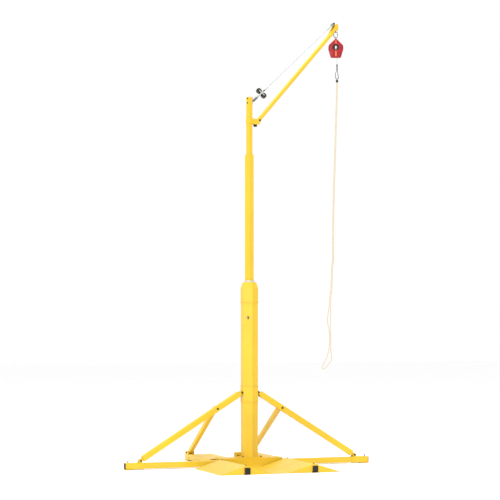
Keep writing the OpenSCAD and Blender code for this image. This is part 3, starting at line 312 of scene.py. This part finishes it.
WELD = metal("painted_weld", (0.62, 0.37, 0.02), (0.80, 0.52, 0.03), (0.34, 0.5), (1, 1, 1))
WELD.node_tree.nodes["Principled BSDF"].inputs["Metallic"].default_value = 0.0

for part in frame["record"]["subparts"]:
    shown = NODES[part["node"]]
    shown.data.materials.clear()
    shown.data.materials.append(FINISHES[part["material_slot"]])
rope.data.materials.append(FINISHES["cream_rope"])


def place(obj, body, slot, material=None, replaces=()):
    obj.data.materials.clear()
    obj.data.materials.append(material or FINISHES[slot])
    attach(obj, body)
    if replaces:
        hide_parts(*replaces)
    return obj


# ---- wire ropes ----
def middle(node):
    low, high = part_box(node)
    return (low + high) / 2, high - low


centre, extent = middle("stay_wire")
WIRE_R = 0.004
half = (extent.z / 2 - WIRE_R * math.sqrt(1 - STAY.z ** 2)) / STAY.z
stay = sweep("stay_wire_strands", [centre - STAY * half, centre + STAY * half], WIRE_R, 24, 0.003, 6, 0.055, 0.2)
place(stay, "stay_upper", "wire_rope", replaces=["stay_wire"])

centre, extent = middle("lifeline_cable")
top, bottom = centre + UP * extent.z / 2, centre - UP * extent.z / 2
line = sweep("lifeline_cable_strands", [bottom, top], extent.x / 2, 24, 0.0015, 6, 0.03, 0.2)
place(line, "cable", "wire_rope", replaces=["lifeline_cable"])


# ---- coils of absorber strip, inside the CAD disc's radius and width ----
COIL_R = 0.0388
COIL_HUB_R = 0.0085
COIL_BORE_R = 0.00606
COIL_HUB_HALF = 0.0149
STRIP_WIDTH = 0.0285
STRIP_PITCH = 0.00152
STRIP_T = 0.0011
STRIP_STEPS = 44  # points for each turn


def strip_coil(name, joint, body, turn):
    """A flat strip wound on its hub, with a hub sleeve that stands a little proud of it."""
    at, axis = Vector(JOINTS[joint]["pos_m"]), Vector(JOINTS[joint]["axis"]).normalized()
    u = (STAY - axis * STAY.dot(axis)).normalized()
    v = axis.cross(u)
    turns = (COIL_R - COIL_HUB_R) / STRIP_PITCH
    steps = int(turns * STRIP_STEPS)
    verts, faces = [], []
    for i in range(steps + 1):
        a = 2 * math.pi * turns * i / steps
        for r, w in ((0, -1), (STRIP_T, -1), (STRIP_T, 1), (0, 1)):
            radius = min(COIL_HUB_R + STRIP_PITCH * a / (2 * math.pi) + r, COIL_R + 0.0001)
            wander = 0.0004 * noise.noise(Vector((a * 0.7, radius * 300, w)))
            d = u * math.cos(turn * a) + v * math.sin(turn * a)
            verts.append(at + d * radius + axis * (w * STRIP_WIDTH / 2 + wander))
    for i in range(steps):
        for k in range(4):
            n = (k + 1) % 4
            faces.append((4 * i + k, 4 * i + n, 4 * i + 4 + n, 4 * i + 4 + k))
    faces += [(0, 1, 2, 3), (4 * steps + 3, 4 * steps + 2, 4 * steps + 1, 4 * steps)]
    ring, sides = len(verts), 40
    for w in (-1, 1):
        for r in (COIL_BORE_R, COIL_HUB_R):
            for k in range(sides):
                a = 2 * math.pi * k / sides
                verts.append(at + (u * math.cos(a) + v * math.sin(a)) * r + axis * w * COIL_HUB_HALF)
    for k in range(sides):
        n = (k + 1) % sides
        a, b, c, d = (ring + sides * q for q in range(4))
        faces += [(a + k, a + n, b + n, b + k), (c + k, d + k, d + n, c + n),
                  (b + k, b + n, d + n, d + k), (a + k, c + k, c + n, a + n)]
    return place(new_object(name, verts, faces, smooth=False), body, "strip_steel", replaces=[body])


strip_coil("upper_coil_strip", "upper_coil_spin", "upper_coil", 1)
strip_coil("lower_coil_strip", "lower_coil_spin", "lower_coil", -1)

# ---- lifeline housing ----
shell_low, shell_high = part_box("front_shell")
HOUSE_TOP, HOUSE_BOTTOM = shell_high.z, shell_low.z
HOUSE_H = HOUSE_TOP - HOUSE_BOTTOM
HOUSE_W = 0.214
HOUSE_AXIS = Vector((HOUSING.x, HOUSING.y, 0))
SHELL_SIDE = 0.026  # depth of the straight side
CROWN_RISE = 0.0170
CROWN_SHARE = 0.17  # how far in the crown's rounding reaches


def housing_outline(count=120):
    """Outline as (across, height), round the hull of seven circles, evenly spaced."""
    w = HOUSE_W / 2
    circles = [(0, HOUSE_TOP - 0.016, 0.016)]
    for s in (-1, 1):
        circles += [(s * (w - 0.030), HOUSE_BOTTOM + HOUSE_H * 0.60, 0.028),
                    (s * (w - 0.024), HOUSE_BOTTOM + HOUSE_H * 0.45, 0.024),
                    (s * (w - 0.052), HOUSE_BOTTOM + 0.022, 0.022)]
    pts = []
    for k in range(720):
        d = np.array((math.cos(math.radians(k / 2)), math.sin(math.radians(k / 2))))
        best = max(circles, key=lambda c: c[0] * d[0] + c[1] * d[1] + c[2])
        pts.append((best[0] + best[2] * d[0], 0.0, best[1] + best[2] * d[1]))
    pts.append(pts[0])
    path = resample(pts, 0.001)[0]
    keep = np.linspace(0, len(path) - 1, count, endpoint=False).astype(int)
    return [(path[i][0], path[i][2]) for i in keep]


OUTLINE = housing_outline()


def house_point(x, y, z):
    return HOUSE_AXIS + LINE_X * x + LINE_Y * y + UP * z


def shell_layers():
    """(share of the outline, depth from the parting plane) from the rim to the crown."""
    rows = [(0.985, 0.0006), (1.0, 0.0022), (1.0, SHELL_SIDE)]
    for k in range(1, 9):
        a = math.pi / 2 * k / 8
        rows.append((1 - CROWN_SHARE * (1 - math.cos(a)), SHELL_SIDE + CROWN_RISE * math.sin(a)))
    return rows + [(0.76, 0.0438), (0.66, 0.0452), (0.55, 0.0466), (0.455, 0.0474), (0.445, 0.0462), (0.40, 0.0460)]


def detailed_shell(name, face, node):
    """face -1 is the front. A rounded rim, a soft crown and a recess round the hub."""
    verts, faces, n = [], [], len(OUTLINE)
    rows = shell_layers()
    for share, depth in rows:
        for x, z in OUTLINE:
            verts.append(house_point(x * share, face * depth, HUB.z + (z - HUB.z) * share))
    for i in range(len(rows) - 1):
        for k in range(n):
            m = (k + 1) % n
            quad = (i * n + k, i * n + m, (i + 1) * n + m, (i + 1) * n + k)
            faces.append(quad if face < 0 else quad[::-1])
    last = (len(rows) - 1) * n
    rim = tuple(range(n))
    cap = tuple(last + k for k in range(n))
    faces += [rim[::-1], cap] if face < 0 else [rim, cap[::-1]]
    return place(new_object(name, verts, faces), "lifeline_housing", "red_plastic", replaces=[node])


detailed_shell("housing_front", -1, "front_shell")
detailed_shell("housing_rear", 1, "rear_shell")


def crown_depth(x, z):
    """Depth of the shell's face at a point, from the share of the outline that it lies on."""
    angle = math.atan2(z - HUB.z, x)

    def off(q):
        return abs((math.atan2(q[1] - HUB.z, q[0]) - angle + math.pi) % (2 * math.pi) - math.pi)

    best = min(OUTLINE, key=off)
    share = math.hypot(x, z - HUB.z) / math.hypot(best[0], best[1] - HUB.z)
    rows = shell_layers()[2:]
    shares, depths = [r[0] for r in rows][::-1], [r[1] for r in rows][::-1]
    return float(np.interp(share, shares, depths))


def slab(name, profile, body, slot, material=None, face=-1, proud=0.0012, sink=0.002):
    """A low moulding on the shell's face: rows of (left, right) by height, following the crown."""
    verts, faces, across = [], [], 9
    for z, half_w in profile:
        for k in range(across):
            x = half_w * (2 * k / (across - 1) - 1)
            edge = proud * (1 - abs(2 * k / (across - 1) - 1) ** 6)
            verts.append(house_point(x, face * (crown_depth(x, z) + edge), z))
    count = len(profile)
    for i in range(count - 1):
        for k in range(across - 1):
            quad = (i * across + k, i * across + k + 1, (i + 1) * across + k + 1, (i + 1) * across + k)
            faces.append(quad if face < 0 else quad[::-1])
    base = len(verts)
    back = LINE_Y * (-face) * sink
    border = list(range(across)) + [i * across + across - 1 for i in range(1, count)]
    border += [(count - 1) * across + k for k in range(across - 2, -1, -1)]
    border += [i * across for i in range(count - 2, 0, -1)]
    verts += [verts[b] + back for b in border]
    for k in range(len(border)):
        n = (k + 1) % len(border)
        quad = (border[n], border[k], base + k, base + n)
        faces.append(quad if face < 0 else quad[::-1])
    floor_face = tuple(range(base, base + len(border)))
    faces.append(floor_face[::-1] if face < 0 else floor_face)
    return place(new_object(name, verts, faces), body, slot, material)


for side, face in (("front", -1), ("rear", 1)):
    top_rows = [(HUB.z + 0.052 + 0.058 * k / 14, 0.010 * (1 - 0.45 * k / 14)) for k in range(15)]
    low_rows = [(HUB.z - 0.052 - 0.078 * k / 14, 0.009 + 0.004 * k / 14) for k in range(15)]
    slab(f"{side}_upper_stripe", top_rows, "lifeline_housing", "red_plastic", ORANGE, face)
    slab(f"{side}_lower_stripe", low_rows, "lifeline_housing", "red_plastic", ORANGE, face)


def turned(name, at, axis, profile, body, slot, sides=40):
    """Solid of revolution from (radius, along) pairs that start and end on the axis."""
    axis = Vector(axis).normalized()
    u = axis.orthogonal().normalized()
    v = axis.cross(u)
    verts = [Vector(at) + axis * profile[0][1]]
    for r, h in profile[1:-1]:
        for k in range(sides):
            a = 2 * math.pi * k / sides
            verts.append(Vector(at) + axis * h + (u * math.cos(a) + v * math.sin(a)) * r)
    verts.append(Vector(at) + axis * profile[-1][1])
    rings, last = len(profile) - 2, len(verts) - 1
    faces = [(0, 1 + (k + 1) % sides, 1 + k) for k in range(sides)]
    for i in range(rings - 1):
        for k in range(sides):
            n = (k + 1) % sides
            a, b = 1 + i * sides, 1 + (i + 1) * sides
            faces.append((a + k, a + n, b + n, b + k))
    faces += [(last, 1 + (rings - 1) * sides + k, 1 + (rings - 1) * sides + (k + 1) % sides) for k in range(sides)]
    return place(new_object(name, verts, faces), body, slot)


def screw(name, at, axis, r, body):
    """A low domed screw head with a round socket."""
    profile = [(0, -0.001), (r, -0.001), (r, 0.25 * r), (0.86 * r, 0.52 * r), (0.62 * r, 0.68 * r),
               (0.44 * r, 0.70 * r), (0.40 * r, 0.30 * r), (0, 0.28 * r)]
    return turned(name, at, axis, profile, body, "bright_steel", sides=24)


# ---- hub: a black disc in place of the CAD cap, a bright boss, and a pale bridge over the disc's lower part ----
DISC = [(0, 0.0452), (0.0445, 0.0452), (0.0455, 0.0465), (0.0450, 0.0500), (0.0420, 0.0512), (0.0405, 0.0500),
        (0.0330, 0.0492), (0.0315, 0.0515), (0.0260, 0.0525), (0, 0.0525)]
BOSS = [(0, 0.0520), (0.0150, 0.0520), (0.0150, 0.0556), (0.0138, 0.0572), (0.0080, 0.0584), (0, 0.0586)]
BRIDGE_AT = -0.011  # its middle, above the hub's
BRIDGE_HALF = 0.025
BRIDGE_TAPER = 0.036  # distance from the hub at which its extra width is gone
BRIDGE_T = 0.0035
SCREW_R = 0.0045
SCREWS = ((0, 0.93), (0.78, 0.60), (-0.78, 0.60), (0.56, 0.10), (-0.56, 0.10))  # shares across and up
for side, face in (("front", -1), ("rear", 1)):
    out = LINE_Y * face
    cap = turned(f"{side}_hub_disc", HUB, out, DISC, "lifeline_housing", "black_plastic")
    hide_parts("hub_caps")
    turned(f"{side}_hub_boss", HUB, out, BOSS, "lifeline_housing", "plated_steel")
    verts, faces, rows, across = [], [], 17, 7
    for i in range(rows):
        h = BRIDGE_AT + BRIDGE_HALF * (2 * i / (rows - 1) - 1)
        lift = 0.0538 - 0.0045 * (abs(h) / BRIDGE_TAPER) ** 3
        for k in range(across):
            t = 2 * k / (across - 1) - 1
            half_w = 0.0100 + 0.003 * (1 - (h / BRIDGE_TAPER) ** 2)
            verts.append(HUB + LINE_X * half_w * t + UP * h + out * (lift - 0.0012 * t ** 4))
    front = len(verts)
    verts += [v - out * BRIDGE_T for v in verts]
    for i in range(rows - 1):
        for k in range(across - 1):
            quad = (i * across + k, i * across + k + 1, (i + 1) * across + k + 1, (i + 1) * across + k)
            faces += [quad, tuple(front + q for q in quad[::-1])]
    border = list(range(across)) + [i * across + across - 1 for i in range(1, rows)]
    border += [(rows - 1) * across + k for k in range(across - 2, -1, -1)]
    border += [i * across for i in range(rows - 2, 0, -1)]
    for k in range(len(border)):
        n = (k + 1) % len(border)
        faces.append((border[n], border[k], front + border[k], front + border[n]))
    if face > 0:
        faces = [f[::-1] for f in faces]
    place(new_object(f"{side}_hub_bridge", verts, faces), "lifeline_housing", "plated_steel")
    for i, (x, z) in enumerate(SCREWS):
        sx, sz = x * HOUSE_W / 2 * 0.88, HOUSE_BOTTOM + HOUSE_H * (0.04 + 0.86 * z)
        at = house_point(sx, face * (crown_depth(sx, sz) - 0.0004), sz)
        screw(f"{side}_housing_screw_{i}", at, out, SCREW_R, "lifeline_housing")


# ---- weld beads: rippled tubes laid in the corners of the welded joints ----
BEAD_STEP = 0.0022
BEAD_SIDES = 8


def weld(name, points, body="base", radius=0.0042):
    loop = [Vector(p) for p in points] + [Vector(points[0])]
    path = resample(loop, BEAD_STEP)[0]
    bead = sweep(name, loop, radius, BEAD_SIDES, BEAD_STEP, closed=True)
    co = bead.data.vertices
    for i in range(len(path) - 1):
        swell = 1 + 0.16 * math.sin(i * 2 * math.pi / 4) + 0.10 * noise.noise(Vector((i * 0.21, radius * 900, 3.3)))
        for k in range(BEAD_SIDES):
            v = co[i * BEAD_SIDES + k]
            v.co = Vector(path[i]) + (v.co - Vector(path[i])) * swell
    return place(bead, body, "yellow_paint", WELD)


def hexagon(radius, z):
    return [(radius * math.cos(math.radians(30 + 60 * k)), radius * math.sin(math.radians(30 + 60 * k)), z)
            for k in range(6)]


band_low, band_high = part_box("brace_band")
cap_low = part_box("mast_cap")[0]
MAST_R = 0.1172  # to the hexagon's corners, as are LIP_R and BAND_R
LIP_T = 0.004
LIP_R = band_high.y
BAND_R = LIP_R - LIP_T / math.cos(math.radians(30))
LIP_H = 0.010
FOOT_PLATE_T = 0.012
weld("mast_foot_weld", hexagon(MAST_R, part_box("lower_mast")[0].z + FOOT_PLATE_T))
for name, z in (("band_lower_weld", band_low.z), ("band_upper_weld", band_high.z), ("cap_lower_weld", cap_low.z)):
    weld(name, hexagon(MAST_R + 0.0016, z), radius=0.0026)
for name, z in (("band_inner_weld", band_low.z + LIP_H), ("cap_inner_weld", cap_low.z + LIP_H)):
    weld(name, hexagon(BAND_R + 0.0012, z), radius=0.0020)
FLANGE_X = 0.5135  # just off the outrigger flange's outer face
BEAM_HALF = 0.0385
BEAM_BOTTOM, BEAM_TOP = 0.0125, 0.0885
for side, sign in (("left", -1), ("right", 1)):
    x = sign * FLANGE_X
    box = [(x, -BEAM_HALF, BEAM_BOTTOM), (x, BEAM_HALF, BEAM_BOTTOM), (x, BEAM_HALF, BEAM_TOP),
           (x, -BEAM_HALF, BEAM_TOP)]
    weld(f"{side}_outrigger_weld", box, radius=0.0035)

boom_dir = Vector((STAY.x, STAY.y, 0)).normalized()
boom_side = Vector((-boom_dir.y, boom_dir.x, 0))


TOP_LOOP_HALF = 0.0325  # just outside the top tube's faces
CORNERS = ((-1, -0.86), (-0.86, -1), (0.86, -1), (1, -0.86), (1, 0.86), (0.86, 1), (-0.86, 1), (-1, 0.86))


def square_loop(half_side, z):
    return [boom_dir * (a * half_side) + boom_side * (b * half_side) + UP * z for a, b in CORNERS]


weld("step_weld", square_loop(TOP_LOOP_HALF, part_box("mid_tube")[1].z), "upper_mast", 0.0028)
weld("bracket_upper_weld", square_loop(TOP_LOOP_HALF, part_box("boom_bracket")[1].z), "upper_mast", 0.0026)

# ---- floor, light and colour ----
FLOOR = 60.0
FLOOR_Z = -0.001
floor = new_object("studio_floor", [(-FLOOR, -FLOOR, FLOOR_Z), (FLOOR, -FLOOR, FLOOR_Z), (FLOOR, FLOOR, FLOOR_Z),
                                    (-FLOOR, FLOOR, FLOOR_Z)], [(0, 1, 2, 3)])
paper = Surface("studio_floor", 0.9)
floor.data.materials.append(paper.finish(paper.ramp(paper.noise(0.6, 2), [(0.3, (0.97, 0.97, 0.97)),
                                                                         (0.7, (0.985, 0.985, 0.985))])))

world = bpy.data.worlds.new("studio")
world.use_nodes = True
world.node_tree.nodes["Background"].inputs["Color"].default_value = (1.0, 1.0, 1.0, 1)
world.node_tree.nodes["Background"].inputs["Strength"].default_value = 1.0
scene.world = world


def softbox(name, at, aim, size, power):
    lamp = bpy.data.lights.new(name, "AREA")
    lamp.shape, lamp.size, lamp.size_y, lamp.energy = "RECTANGLE", size, size, power
    obj = bpy.data.objects.new(name, lamp)
    obj.location = at
    obj.rotation_euler = (Vector(aim) - Vector(at)).to_track_quat("-Z", "Y").to_euler()
    scene.collection.objects.link(obj)


softbox("key_light", (-10.5, -13.5, 6.5), (0, 0, 2.5), 5, 1250)
softbox("top_light", (0, 0, 14), (0, 0, 0), 9, 1100)
scene.view_settings.view_transform = "Standard"
scene.view_settings.look = "None"
